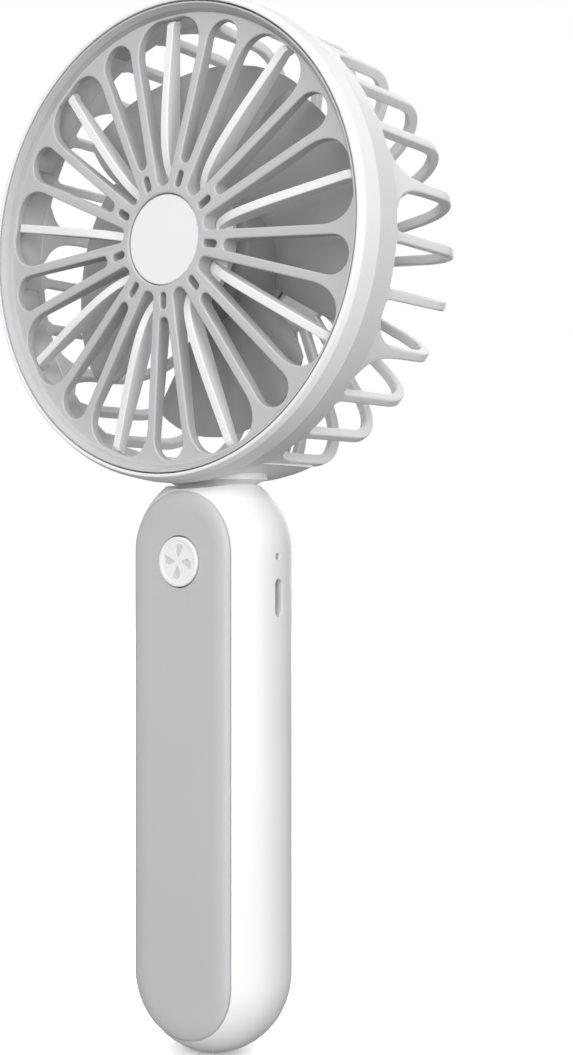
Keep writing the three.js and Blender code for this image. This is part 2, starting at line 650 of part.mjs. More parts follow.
function usbSocket() {
  const front = BOARD_BACK_Y + GAP;
  const outside = box(9.6, 15.2, front, front + SOCKET_WIDTH, SOCKET_Z - 3.7, SOCKET_Z + 3.7);
  const mouth = box(10.4, 16, -0.9, 1.1, SOCKET_Z - 3.3, SOCKET_Z + 3.3);
  const tongue = box(10, 14.4, -0.2, 0.4, SOCKET_Z - 2.6, SOCKET_Z + 2.6);
  return cut(joined(outside), mouth).add(solid(tongue));
}

// ---------- assembly ----------
add(head, 'rear_cage', rearCage(), plastic(WHITE));
add(head, 'front_grille', frontGrille(), plastic(GREY));
add(head, 'fin_spider', finSpider(), plastic(WHITE));
const capDisc = rodY(CAP_RADIUS, 0.5, GRILLE_BACK, 0, 0, 40);
const capPin = rodY(2.2, GRILLE_BACK - 0.2, SPIDER_BACK, 0, 0, 16);
add(head, 'hub_cap', joined(capDisc, capPin), plastic(WHITE));
add(head, 'rear_hub_cap', rodY(REAR_CAP_RADIUS, CAGE_BACK - 0.9, CAGE_BACK - 0.1, 0, 0, 36), plastic(GREY));

add(head, 'impeller', impeller(), plastic(BLADE_GREY));
add(head, 'motor_shaft', rodY(SHAFT_RADIUS, 9.6, 30.8, 0, 0, 16), metal(STEEL));
add(head, 'rotor_yoke', ring(10.9, 11.9, 12.5, 23.5, 24), metal(STEEL));
add(head, 'magnet_ring', ring(9.4, 10.6, 13, 23, 24), plastic(BLACK));
add(head, 'stator_core', statorCore(), metal(LAMINATION));
add(head, 'winding_front', ring(WINDING_INNER, WINDING_OUTER, 13.9, 15.2, 18), metal(COPPER));
add(head, 'winding_rear', ring(WINDING_INNER, WINDING_OUTER, 21.8, 23.1, 18), metal(COPPER));
add(head, 'bearing_tube', ring(2.6, 3.2, 13.4, 31.6, 14), metal(BRASS));
add(head, 'bearing_front', ring(1.3, 2.3, 14, 17, 12), metal(BRONZE));
add(head, 'bearing_rear', ring(1.3, 2.3, 26, 29, 12), metal(BRONZE));
add(head, 'motor_base', motorBase(), plastic(INNER_GREY));
add(head, 'motor_board', motorBoard(), plastic(BOARD_GREEN));
screwAngles.forEach((angle, k) => {
  const [x, z] = polar(MOTOR_SCREW_CIRCLE, angle);
  add(head, `motor_screw_${k + 1}`, screw(x, z, 42, 30.5), metal(STEEL));
});

add(fan, 'handle_shell', handleShell(), plastic(WHITE));
add(fan, 'front_panel', frontPanel(), plastic(GREY));
add(fan, 'power_button', powerButton(), plastic(WHITE));
add(fan, 'switch_plunger', rodY(1.1, -8.1, -6.6, 0, BUTTON_Z, 16), plastic(BLACK));
add(fan, 'switch_body', box(-3, 3, -5.9, BOARD_FRONT_Y - GAP, BUTTON_Z - 3, BUTTON_Z + 3), metal(STEEL));
add(fan, 'main_board', mainBoard(), plastic(BOARD_GREEN));
add(fan, 'charge_chip', box(-9.5, -4.5, -4.2, BOARD_FRONT_Y - GAP, 93, 98), plastic(BLACK));
add(fan, 'usb_socket', usbSocket(), metal(STEEL));
const ledBox = box(8.4, 10.4, BOARD_BACK_Y + GAP, 0.2, LIGHT_Z - 0.8, LIGHT_Z + 0.8);
add(fan, 'indicator_led', ledBox, plastic(LED_CREAM));
const pipeRod = rodX(LIGHT_RADIUS, 10.7, HANDLE_HALF_WIDTH - 0.1, LIGHT_Y, LIGHT_Z, 12);
add(fan, 'light_pipe', pipeRod, plastic(CLEAR));
add(fan, 'battery_cradle', cradle(), plastic(INNER_GREY));
add(fan, 'battery_cell', rodZ(CELL_RADIUS, CELL_BOTTOM, CELL_TOP, 0, CELL_Y, 36), plastic(CELL_BLUE));
const tab = (z) => box(-3, 3, CELL_Y - 6, CELL_Y + 6, z, z + 0.3);
add(fan, 'cell_tab_lower', tab(CELL_BOTTOM - GAP - 0.3), metal(STEEL));
add(fan, 'cell_tab_upper', tab(CELL_TOP + GAP), metal(STEEL));
add(fan, 'cell_pad', box(-5, 5, -9.8, -8.8, 32, 68), plastic(BLACK));
for (const [k, x] of [-BOARD_SCREW_X, BOARD_SCREW_X].entries()) {
  add(fan, `board_screw_${k + 1}`, screw(x, BOARD_SCREW_Z, -4, 5), metal(STEEL));
}
for (const [k, x] of [-NECK_SCREW_X, NECK_SCREW_X].entries()) {
  add(fan, `neck_screw_${k + 1}`, screw(x, NECK_SCREW_Z, -2.5, 10.2), metal(STEEL));
}

// Two leads run from the motor board along the cage's spine and down the neck to the main board.
[[-0.9, 'black', BLACK], [0.9, 'red', LEAD_RED]].forEach(([x, colour, tint]) => {
  const route = [
    [x, 35.2, -10.6], [x, 36.8, -13.2], [x, 37.6, -18], [x, 39.6, -24], [x, 39.4, -33],
    [x, 36, -41.5], [x, 30, -45], [x, 24, -45], [x, 20.5, -46.4],
    [x, 20.2, -51], [x, 20.2, -60], [x, 18.6, -66], [x, 16.2, -69],
  ];
  add(head, `motor_lead_${colour}`, lead(route, LEAD_RADIUS, 24), plastic(tint));
});

export default fan;
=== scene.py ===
"""Handheld electric fan: the finished surfaces, materials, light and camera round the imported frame.

Everything is in the frame's own place and in metres. Shapes are written in millimetres and scaled once, in
new_object. Head shapes use a radius about the head's axis and a depth behind the plane of its front rim.
"""
import json
import math

import bmesh
import bpy
from mathutils import Matrix, Vector
from mathutils.geometry import tessellate_polygon


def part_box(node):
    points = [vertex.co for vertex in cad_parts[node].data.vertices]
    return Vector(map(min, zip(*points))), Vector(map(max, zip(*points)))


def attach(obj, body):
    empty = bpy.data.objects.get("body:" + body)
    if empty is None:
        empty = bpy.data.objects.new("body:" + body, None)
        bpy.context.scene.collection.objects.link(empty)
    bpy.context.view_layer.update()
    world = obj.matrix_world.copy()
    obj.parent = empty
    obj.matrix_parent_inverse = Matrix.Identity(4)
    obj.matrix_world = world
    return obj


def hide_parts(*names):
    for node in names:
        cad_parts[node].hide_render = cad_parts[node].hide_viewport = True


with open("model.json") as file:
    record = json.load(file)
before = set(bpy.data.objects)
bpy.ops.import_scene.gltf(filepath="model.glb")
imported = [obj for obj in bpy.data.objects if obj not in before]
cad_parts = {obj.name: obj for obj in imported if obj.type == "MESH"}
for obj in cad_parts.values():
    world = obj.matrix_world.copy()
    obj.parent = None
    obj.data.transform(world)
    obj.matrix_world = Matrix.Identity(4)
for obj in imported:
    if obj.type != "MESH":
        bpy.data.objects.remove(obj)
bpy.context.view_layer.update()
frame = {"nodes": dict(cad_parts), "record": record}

MM = 0.001
TAU = 2 * math.pi


# ---------- places and sizes read from the frame, in millimetres ----------
def box_mm(node):
    low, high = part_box(node)
    return low / MM, high / MM


grille_low, grille_high = box_mm("front_grille")
cage_high = box_mm("rear_cage")[1]
cap_low, cap_high = box_mm("hub_cap")
rear_cap_low, rear_cap_high = box_mm("rear_hub_cap")
shell_low, shell_high = box_mm("handle_shell")
panel_low = box_mm("front_panel")[0]
button_low, button_high = box_mm("power_button")
socket_low, socket_high = box_mm("usb_socket")
pipe_low, pipe_high = box_mm("light_pipe")
impeller_low, impeller_high = box_mm("impeller")

# The head's axis runs along Y through this point, in the plane of the grille's front lip.
HEAD = Vector(((grille_low.x + grille_high.x) / 2, grille_low.y, (grille_low.z + grille_high.z) / 2))
GRILLE_RADIUS = (grille_high.z - grille_low.z) / 2
BAND_RADIUS = cage_high.z - HEAD.z
CAGE_BACK = cage_high.y - HEAD.y
CAP_RADIUS = (cap_high.x - cap_low.x) / 2
REAR_CAP_RADIUS = (rear_cap_high.x - rear_cap_low.x) / 2
IMPELLER_RADIUS = (impeller_high.z - impeller_low.z) / 2
HANDLE_HALF_WIDTH = (shell_high.x - shell_low.x) / 2
LOWER_CENTRE = shell_low.z + HANDLE_HALF_WIDTH
PANEL_FRONT = panel_low.y
BUTTON_RADIUS = (button_high.x - button_low.x) / 2
BUTTON_CENTRE = (button_low + button_high) / 2
SOCKET_CENTRE = (socket_low + socket_high) / 2
PIPE_RADIUS = (pipe_high.z - pipe_low.z) / 2
PIPE_CENTRE = (pipe_low + pipe_high) / 2

# ---------- driving dimensions, in millimetres ----------
GAP = 0.3

# Handle
HANDLE_HALF_DEPTH = 14.15
HANDLE_ROUNDNESS = 2.17
UPPER_CENTRE = LOWER_CENTRE + 88.25
HANDLE_WALL = 1.6
SEAM_Y = -10.1
PANEL_FLAT_HALF_WIDTH = 8.8
SLOT_HEIGHT = 7.8
SLOT_WIDTH = 2.3
NECK_HALF_WIDTH = 8.8
NECK_HALF_DEPTH = 6.2
NECK_Y = 0.6
SPIGOT_HALF_WIDTH = 8.5
SPIGOT_HALF_DEPTH = 4.4
SPIGOT_LENGTH = 9.5
SPIGOT_Y = 3.5
NECK_BOTTOM = HEAD.z - BAND_RADIUS - 2.5

# Head
PETALS = 9
FIRST_FIN = math.radians(50)
PETAL_PITCH = TAU / PETALS
RIBS = 27
GRILLE_DOME = 0.00108
GRILLE_BACK = 4.2
BAND_BACK = 12.9
BAND_INNER_RADIUS = 46.6
RIB_WIDTH = 2.0
RIB_THICKNESS = 2.2
RIB_RADIUS = 48.4
RIB_BEND = 12.5
SPINE_WIDTH = 3.4
HUB_RADIUS = 15
HUB_FRONT = 27
HUB_FLOOR = 41
FIN_THICKNESS = 1.8
SPIDER_BACK = 6.2
SCREW_CIRCLE = 9.2
SCREW_ANGLES = [math.pi * (0.5 + 2 * k / 3) for k in range(3)]

# Impeller
BLADES = 4
FIRST_BLADE = math.radians(71)
IMPELLER_HUB_RADIUS = 14.2

FIN_ANGLES = [FIRST_FIN + k * PETAL_PITCH for k in range(PETALS)]
RING_STEPS = 216


# ---------- outlines ----------
def polar(radius, angle):
    return Vector((radius * math.cos(angle), radius * math.sin(angle)))


def filleted(corners, steps=5):
    """A closed outline from (u, v, radius) corners, each rounded to its radius."""
    outline = []
    for i, (u, v, radius) in enumerate(corners):
        here = Vector((u, v))
        if not radius:
            outline.append(here)
            continue
        before = (Vector(corners[i - 1][:2]) - here).normalized()
        after = (Vector(corners[(i + 1) % len(corners)][:2]) - here).normalized()
        half = before.angle(after) / 2
        centre = here + (before + after).normalized() * radius / math.sin(half)
        start = here + before * radius / math.tan(half) - centre
        end = here + after * radius / math.tan(half) - centre
        turn = start.angle_signed(end)
        for k in range(steps + 1):
            outline.append(centre + Matrix.Rotation(-turn * k / steps, 2) @ start)
    return outline


def arc(radius, start, end, steps, centre=(0, 0)):
    return [Vector(centre) + polar(radius, start + (end - start) * k / steps) for k in range(steps + 1)]


def circle(radius, steps=RING_STEPS):
    return arc(radius, 0, TAU, steps)[:-1]


def superellipse(half_width, half_depth, y, power=HANDLE_ROUNDNESS):
    share = min(abs(y / half_depth), 1) ** power
    return half_width * (1 - share) ** (1 / power)


# ---------- meshes ----------
def new_object(name, verts, faces):
    """A clean closed mesh object from points in millimetres."""
    mesh = bpy.data.meshes.new(name)
    mesh.from_pydata([Vector(v) * MM for v in verts], [], faces)
    work = bmesh.new()
    work.from_mesh(mesh)
    bmesh.ops.remove_doubles(work, verts=work.verts, dist=1e-7)
    bmesh.ops.dissolve_degenerate(work, edges=work.edges, dist=1e-7)
    bmesh.ops.recalc_face_normals(work, faces=work.faces)
    work.to_mesh(mesh)
    work.free()
    obj = bpy.data.objects.new(name, mesh)
    bpy.context.scene.collection.objects.link(obj)
    return obj


def loft(name, loops, closed=False):
    """A surface through loops of points with equal counts, capped at both ends or closed into a ring."""
    count = len(loops[0])
    verts = [p for loop in loops for p in loop]
    rows = len(loops)
    faces = []
    for k in range(rows if closed else rows - 1):
        a, b = k * count, (k + 1) % rows * count
        for i in range(count):
            j = (i + 1) % count
            faces.append((a + i, a + j, b + j, b + i))
    if not closed:
        faces.append(tuple(range(count)))
        faces.append(tuple(range((rows - 1) * count, rows * count)))
    return new_object(name, verts, faces)


def turned(name, outline, centre=HEAD, steps=RING_STEPS):
    """A closed outline of (radius, depth) points turned about an axis along Y."""
    loops = []
    for k in range(steps):
        x, z = polar(1, TAU * k / steps)
        loops.append([centre + Vector((r * x, depth, r * z)) for r, depth in outline])
    return loft(name, loops, closed=True)


def slab(name, outer, holes, front, back, place, front_round=0.4, back_round=0.2, steps=4):
    """A plate between two depths, with holes, and with the edges of both faces rounded.

    place turns (u, v, depth) into a point. Outlines run anticlockwise.
    """
    levels = []
    for k in range(steps + 1):
        turn = math.pi / 2 * k / steps
        levels.append((front_round * (1 - math.sin(turn)), front + front_round * (1 - math.cos(turn))))
    for k in range(steps + 1):
        turn = math.pi / 2 * k / steps
        levels.append((back_round * (1 - math.cos(turn)), back - back_round * (1 - math.sin(turn))))
    verts, faces = [], []
    ends = [([], []), ([], [])]
    for number, outline in enumerate([outer, *holes]):
        count = len(outline)
        side = 1 if number == 0 else -1
        inward = []
        for i, here in enumerate(outline):
            along = (outline[(i + 1) % count] - here).normalized() + (here - outline[i - 1]).normalized()
            along.normalize()
            inward.append(Vector((-along.y, along.x)) * side)
        start = len(verts)
        for inset, depth in levels:
            verts += [place(p.x + n.x * inset, p.y + n.y * inset, depth) for p, n in zip(outline, inward)]
        for level in range(len(levels) - 1):
            a = start + level * count
            for i in range(count):
                j = (i + 1) % count
                faces.append((a + i, a + j, a + count + j, a + count + i))
        for (flat, order), level in zip(ends, (0, len(levels) - 1)):
            flat.append([(p + n * levels[level][0]).to_3d() for p, n in zip(outline, inward)])
            order += range(start + level * count, start + (level + 1) * count)
    for flat, order in ends:
        faces += [tuple(order[i] for i in triangle) for triangle in tessellate_polygon(flat)]
    return new_object(name, verts, faces)


def on_head(x, z, depth):
    return HEAD + Vector((x, depth, z))


def in_radial_plane(angle):
    """Places (radius, depth, across) in the plane through the head's axis at an angle."""
    out = polar(1, angle)
    side = polar(1, angle + math.pi / 2)

    def place(radius, depth, across):
        flat = out * radius + side * across
        return HEAD + Vector((flat.x, depth, flat.y))

    return place


def combined(base, operation, tools):
    """Joins the tools to the base, or cuts them from it, and removes them."""
    for tool in tools:
        modifier = base.modifiers.new("combine", "BOOLEAN")
        modifier.operation = operation
        modifier.solver = "MANIFOLD"
        modifier.object = tool
    bpy.context.view_layer.update()
    whole = bpy.data.meshes.new_from_object(base.evaluated_get(bpy.context.evaluated_depsgraph_get()))
    base.modifiers.clear()
    base.data = whole
    for tool in tools:
        bpy.data.objects.remove(tool)
    return base


def rod_y(radius, y0, y1, x, z, steps=32, flare=0, flare_at=None):
    """A rod along Y for cutting. It can open out by a quarter round towards its low end, at flare_at."""
    rows = [(radius, y0), (radius, y1)]
    if flare:
        rows = [(radius + flare, y0)]
        for k in range(6):
            turn = math.pi / 2 * k / 5
            rows.append((radius + flare * (1 - math.sin(turn)), flare_at + flare * (1 - math.cos(turn))))
        rows.append((radius, y1))
    loops = [[Vector((x + r * c, y, z + r * s)) for c, s in circle(1, steps)] for r, y in rows]
    return loft("rod", loops)


def finish_piece(obj, body, slot, *nodes, sharp=38):
    """Smooth shading with real edges kept, the slot's material, and the frame's own bookkeeping."""
    obj.data.shade_smooth()
    obj.data.set_sharp_from_angle(angle=math.radians(sharp))
    normals = obj.modifiers.new("even normals", "WEIGHTED_NORMAL")
    normals.keep_sharp = True
    obj.data.materials.clear()
    obj.data.materials.append(MATERIALS[slot])
    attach(obj, body)
    if nodes:
        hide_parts(*nodes)
    return obj


# ---------- materials ----------
MATERIALS = {}


class Surface:
    """A material with its Principled shader, and short ways to add the nodes that drive it."""

    def __init__(self, slot, **constants):
        self.material = bpy.data.materials.new(slot)
        self.material.use_nodes = True
        self.tree = self.material.node_tree
        self.shader = self.tree.nodes["Principled BSDF"]
        self.place = self.tree.nodes.new("ShaderNodeTexCoord").outputs["Object"]
        for socket, value in constants.items():
            self.shader.inputs[socket.replace("_", " ")].default_value = value
        MATERIALS[slot] = self.material

    def node(self, kind, links=(), **values):
        """A node with some sockets set by name, and links from (socket name, source) pairs."""
        made = self.tree.nodes.new(kind)
        for name, value in values.items():
            if name in made.inputs:
                made.inputs[name].default_value = value
            else:
                setattr(made, name, value)
        for name, source in links:
            self.tree.links.new(source, made.inputs[name])
        return made

    def noise(self, scale, detail=2, stretch=None):
        place = self.place
        if stretch:
            mapping = self.node("ShaderNodeMapping", [("Vector", place)])
            mapping.inputs["Scale"].default_value = stretch
            place = mapping.outputs[0]
        made = self.node("ShaderNodeTexNoise", [("Vector", place)], Scale=scale, Detail=detail)
        return made.outputs["Fac"]

    def ramp(self, source, low, high, start=0.35, end=0.65):
        made = self.node("ShaderNodeValToRGB", [("Fac", source)])
        made.color_ramp.elements[0].position = start
        made.color_ramp.elements[1].position = end
        made.color_ramp.elements[0].color = (*low, 1)
        made.color_ramp.elements[1].color = (*high, 1)
        return made.outputs["Color"]

    def spread(self, source, low, high):
        made = self.node("ShaderNodeMapRange", [("Value", source)])
        made.inputs["To Min"].default_value = low
        made.inputs["To Max"].default_value = high
        return made.outputs["Result"]

    def link(self, socket, source):
        self.tree.links.new(source, self.shader.inputs[socket])

    def bump(self, *heights):
        """Bumps in a row, each a (height source, strength, distance in metres)."""
        normal = None
        for source, strength, distance in heights:
            made = self.node("ShaderNodeBump", [("Height", source)])
            made.inputs["Strength"].default_value = strength
            made.inputs["Distance"].default_value = distance
            if normal:
                self.tree.links.new(normal, made.inputs["Normal"])
            normal = made.outputs["Normal"]
        self.link("Normal", normal)


def tones(colour, spread):
    return [tuple(min(1, c * factor) for c in colour) for factor in (1 - spread, 1 + spread)]


def moulded_plastic(slot, colour, roughness, grain=0.12, spread=0.012, **constants):
    """Moulded plastic: a cloudy tone, a fine spark-eroded grain, and a faint flow waviness."""
    surface = Surface(slot, IOR=1.46, **constants)
    surface.link("Base Color", surface.ramp(surface.noise(45, 3), *tones(colour, spread)))
    surface.link("Roughness", surface.spread(surface.noise(140, 3), roughness - 0.06, roughness + 0.06))
    surface.bump((surface.noise(5200, 2), grain, 0.00002), (surface.noise(60, 1), 0.05, 0.0002))


def plain_metal(slot, colour, roughness, stretch=(1, 1, 1), grain=0.2):
    """Drawn or turned metal: fine lines along one direction and uneven polish."""
    surface = Surface(slot, Metallic=1.0)
    lines = surface.noise(1600, 3, stretch)
    surface.link("Base Color", surface.ramp(surface.noise(220, 3), *tones(colour, 0.08)))
    surface.link("Roughness", surface.spread(lines, roughness - 0.1, roughness + 0.12))
    surface.bump((lines, grain, 0.00002))


def winding_wire():
    """Enamelled wire laid side by side round the motor's core, with painted shade darkening the grooves
    between the turns.
    """
    surface = Surface("copper", Metallic=1.0, Coat_Weight=0.6)
    wires = surface.node("ShaderNodeTexWave", [("Vector", surface.place)], Scale=900.0, Distortion=1.2)
    # Painted shade: the copper colour is darker where the wave is low, in the grooves between the turns.
    shade = surface.ramp(wires.outputs["Fac"], (0.32, 0.1, 0.03), (0.72, 0.3, 0.12), 0.1, 0.7)
    surface.link("Base Color", shade)
    surface.link("Roughness", surface.spread(surface.noise(500), 0.2, 0.4))
    surface.bump((wires.outputs["Fac"], 0.7, 0.0001))


def circuit_board():
    """Green solder mask with raised tracks under it."""
    surface = Surface("board", Coat_Weight=0.4, Coat_Roughness=0.15)
    tracks = surface.node("ShaderNodeTexBrick", [("Vector", surface.place)], Scale=260.0, offset=0.37)
    tracks.inputs["Mortar Size"].default_value = 0.03
    shade = surface.ramp(tracks.outputs["Fac"], (0.02, 0.14, 0.06), (0.05, 0.26, 0.12), 0.2, 0.8)
    surface.link("Base Color", shade)
    surface.link("Roughness", surface.spread(surface.noise(400), 0.3, 0.5))
    surface.bump((tracks.outputs["Fac"], 0.5, 0.00005))


def shrink_sleeve():
    """Thin printed film shrunk on the cell, with a slight wrinkle."""
    surface = Surface("cell_sleeve", Coat_Weight=0.5, Coat_Roughness=0.1)
    surface.link("Base Color", surface.ramp(surface.noise(90, 3), (0.03, 0.12, 0.36), (0.05, 0.18, 0.46)))
    surface.link("Roughness", surface.spread(surface.noise(200), 0.22, 0.38))
    surface.bump((surface.noise(300, 3, (1, 1, 0.2)), 0.25, 0.0001))


def foam_pad():
    """Closed-cell foam with small pits, darker in the pits as painted shade."""
    surface = Surface("foam", Sheen_Weight=0.2)
    texture = surface.node("ShaderNodeTexVoronoi", [("Vector", surface.place)], Scale=1800.0)
    cells = texture.outputs["Distance"]
    # Painted shade: the foam colour is darkest where the surface is lowest, at the bottom of each pit.
    surface.link("Base Color", surface.ramp(cells, (0.03, 0.03, 0.03), (0.09, 0.09, 0.09), 0.1, 0.7))
    surface.link("Roughness", surface.spread(cells, 0.8, 0.95))
    surface.bump((cells, 0.8, 0.0002))


def make_materials():
    moulded_plastic("white_plastic", (0.88, 0.88, 0.878), 0.42)
    moulded_plastic("grey_plastic", (0.55, 0.55, 0.56), 0.46)
    # The blades' grey is partly their own colour and partly painted shade: darkened further so the inside of
    # the head looks dim.
    moulded_plastic("blade_plastic", (0.36, 0.365, 0.37), 0.5)
    moulded_plastic("inner_plastic", (0.66, 0.66, 0.67), 0.5)
    moulded_plastic("black_plastic", (0.035, 0.035, 0.04), 0.45, spread=0.1)
    moulded_plastic("light_pipe", (0.72, 0.74, 0.76), 0.25, grain=0.04, Transmission_Weight=0.35)
    moulded_plastic("lead_black", (0.015, 0.015, 0.015), 0.4, spread=0.15)
    moulded_plastic("lead_red", (0.45, 0.02, 0.015), 0.4, spread=0.08)
    plain_metal("steel", (0.56, 0.57, 0.58), 0.32, (1, 0.1, 1))
    plain_metal("brass", (0.72, 0.52, 0.22), 0.3, (1, 0.1, 1))
    winding_wire()
    circuit_board()
    shrink_sleeve()
    foam_pad()


# ---------- rear cage ----------
BAND_LIP = -0.2
BAND_SLOPE = 1.05 / (BAND_BACK - 5.2)
GUSSET_SPREAD = 5.2
GUSSET_FADE = 2.8
ROOT_SPREAD = 0.7
ROOT_FADE = 0.45
# Depths behind the band at which a rib has a section, close together where its root fades
RIB_STATIONS = (-1.2, -0.6, -0.2, 0, 0.2, 0.5, 0.8, 1.2, 1.7, 2.3, 3, 4, 5.3, 7, 9, 12, 15)
BEND_STEPS = 14


def band():
    seat = GRILLE_RADIUS + GAP
    return turned("rear_cage_body", filleted([
        (seat, BAND_LIP, 0.2), (BAND_RADIUS - 1.15, BAND_LIP, 0.35), (BAND_RADIUS - 0.5, 1.1, 1.5),
        (BAND_RADIUS, 5.2, 1.2), (BAND_RADIUS - 1.05, BAND_BACK, 0.45), (BAND_INNER_RADIUS, BAND_BACK, 0.5),
        (BAND_INNER_RADIUS, GRILLE_BACK + GAP, 0.1), (seat, GRILLE_BACK + GAP, 0.1),
    ]))


def rib_section(half_width, half_thickness, corner=0.4, across=8):
    """A rectangle with rounded corners, with enough points across it to follow a curve."""
    flat_u, flat_v = half_width - corner, half_thickness - corner
    section = []
    for side, (su, sv, start) in enumerate([(1, 1, 0), (-1, 1, 1), (-1, -1, 2), (1, -1, 3)]):
        section += arc(corner, start * math.pi / 2, (start + 1) * math.pi / 2, 3, (su * flat_u, sv * flat_v))
        if side in (0, 2):
            section += [Vector((su * flat_u * (1 - 2 * k / across), sv * half_thickness))
                        for k in range(1, across)]
    return section


def rib(angle, width, spread, fade):
    """A rib from inside the band, straight back, round the bend and in to the hub, with a spreading root."""
    mid = RIB_THICKNESS / 2
    bend_depth, bend_radius = CAGE_BACK - RIB_BEND, RIB_RADIUS - RIB_BEND
    taper_radius = BAND_RADIUS - 0.02 - (BAND_BACK - 5.2) * BAND_SLOPE
    path = []
    for behind in (*RIB_STATIONS, bend_depth - BAND_BACK):
        settle = math.exp(-max(behind, 0) / 1.5)
        outer = RIB_RADIUS + (taper_radius - RIB_RADIUS) * settle + max(-behind, 0) * BAND_SLOPE
        path.append((outer - mid, BAND_BACK + behind, 0))
    for k in range(1, BEND_STEPS + 1):
        turn = math.pi / 2 * k / BEND_STEPS
        out, back = polar(RIB_BEND - mid, turn)
        path.append((bend_radius + out, bend_depth + back, turn))
    for share in (0.25, 0.5, 0.75, 1):
        path.append((bend_radius + (HUB_RADIUS - 0.8 - bend_radius) * share, CAGE_BACK - mid, math.pi / 2))
    loops = []
    for radius, depth, turn in path:
        half = width / 2 + spread * math.exp(-max(depth - BAND_BACK, 0) / fade)
        loop = []
        for across, outward in rib_section(half, mid):
            lift, back = outward * math.cos(turn), outward * math.sin(turn)
            if turn == 0:
                x, z = polar(radius + lift, angle + across / radius)
            else:
                x, z = polar(radius + lift, angle) + polar(across, angle + math.pi / 2)
            loop.append(on_head(x, z, depth + back))
        loops.append(loop)
    return loft("rib", loops)


def cage_floor():
    """The solid floor between the two lowest gussets, over the neck."""
    outline = filleted([
        (46.7, BAND_BACK - 1, 0), (48.7, BAND_BACK - 1, 0), (48.9, 29.8, 0.9), (46.7, 29.8, 0.6),
    ])
    start, steps = -math.pi / 2 - PETAL_PITCH / 2, 24
    loops = []
    for k in range(steps + 1):
        x, z = polar(1, start + PETAL_PITCH * k / steps)
        loops.append([on_head(r * x, r * z, depth) for r, depth in outline])
    return loft("floor", loops)


def hub_cup():
    wall = HUB_RADIUS - 1.6
    seat = REAR_CAP_RADIUS + GAP
    return turned("hub", filleted([
        (0, HUB_FLOOR, 0), (wall, HUB_FLOOR, 0.8), (wall, HUB_FRONT, 0.4), (HUB_RADIUS, HUB_FRONT, 0.5),
        (HUB_RADIUS, CAGE_BACK, 0.6), (seat, CAGE_BACK, 0.25), (seat, CAGE_BACK - 1.2, 0),
        (0, CAGE_BACK - 1.2, 0),
    ]), steps=96)


def oval_loop(half_width, half_depth, y, z, power=2.0, steps=64):
    loop = []
    for c, s in circle(1, steps):
        u = math.copysign(abs(c) ** (2 / power), c)
        v = math.copysign(abs(s) ** (2 / power), s)
        loop.append(Vector((half_width * u, y + half_depth * v, z)))
    return loop


def neck():
    """The short neck: a waisted oval between the handle's saddle and the band."""
    rows = [(0, 0), (1.5, 0), (1.9, 0.15), (2.3, 0.5), (2.7, 1.1), (3.1, 1.9), (3.4, 2.8), (5, 2.8)]
    return loft("neck", [
        oval_loop(NECK_HALF_WIDTH + swell, NECK_HALF_DEPTH + swell, NECK_Y, NECK_BOTTOM + up, 2.2)
        for up, swell in rows])


def spigot(swell, up_to, name="spigot"):
    half_width, half_depth = SPIGOT_HALF_WIDTH + swell, SPIGOT_HALF_DEPTH + swell
    foot = NECK_BOTTOM - SPIGOT_LENGTH - swell
    return loft(name, [oval_loop(half_width, half_depth, SPIGOT_Y, z) for z in (foot, up_to)])


def rod_z(radius, z0, z1, x, y, steps=24):
    loops = [[Vector((x + radius * c, y + radius * s, z)) for c, s in circle(1, steps)] for z in (z0, z1)]
    return loft("rod", loops)


def cuboid(low, high, name="cuboid"):
    (x0, y0, z0), (x1, y1, z1) = low, high
    corners = [(x0, y0), (x1, y0), (x1, y1), (x0, y1)]
    return loft(name, [[Vector((x, y, z)) for x, y in corners] for z in (z0, z1)])


def rear_cage():
    parts = [cage_floor(), hub_cup(), neck(), spigot(0, NECK_BOTTOM + 0.5)]
    parts.append(rib(-math.pi / 2, SPINE_WIDTH, 0, 1))
    for k in range(RIBS):
        gusset = k % (RIBS // PETALS) == 0
        spread, fade = (GUSSET_SPREAD, GUSSET_FADE) if gusset else (ROOT_SPREAD, ROOT_FADE)
        parts.append(rib(FIRST_FIN + k * TAU / RIBS, RIB_WIDTH, spread, fade))
    body = combined(band(), "UNION", parts)
    holes = [
        cuboid((HEAD.x - 2, HEAD.y + 35, HEAD.z - HUB_RADIUS - 1), (HEAD.x + 2, HEAD.y + 38.5, HEAD.z - 12)),
        rod_z(2.9, NECK_BOTTOM - 11, HEAD.z - BAND_INNER_RADIUS + 1, 0, SPIGOT_Y),
    ]
    for angle in SCREW_ANGLES:
        x, z = polar(SCREW_CIRCLE, angle)
        holes.append(rod_y(2.2, HEAD.y + 40.6, HEAD.y + CAGE_BACK, HEAD.x + x, HEAD.z + z))
    body = combined(body, "DIFFERENCE", holes)
    finish_piece(body, "housing", "white_plastic", "rear_cage")


def rear_hub_cap():
    front, back = CAGE_BACK - 0.9, CAGE_BACK - 0.1
    cap = turned("rear_cap_disc", filleted([
        (0, front, 0), (REAR_CAP_RADIUS, front, 0.1), (REAR_CAP_RADIUS, back - 0.1, 0.25), (0, back, 0),
    ]), steps=128)
    finish_piece(cap, "housing", "grey_plastic", "rear_hub_cap")


# ---------- front grille ----------
WIDE_INNER = 12.6
WIDE_INNER_HALF = 1.65
WIDE_SLOPE = 0.248
WIDE_OUTER = 45.5


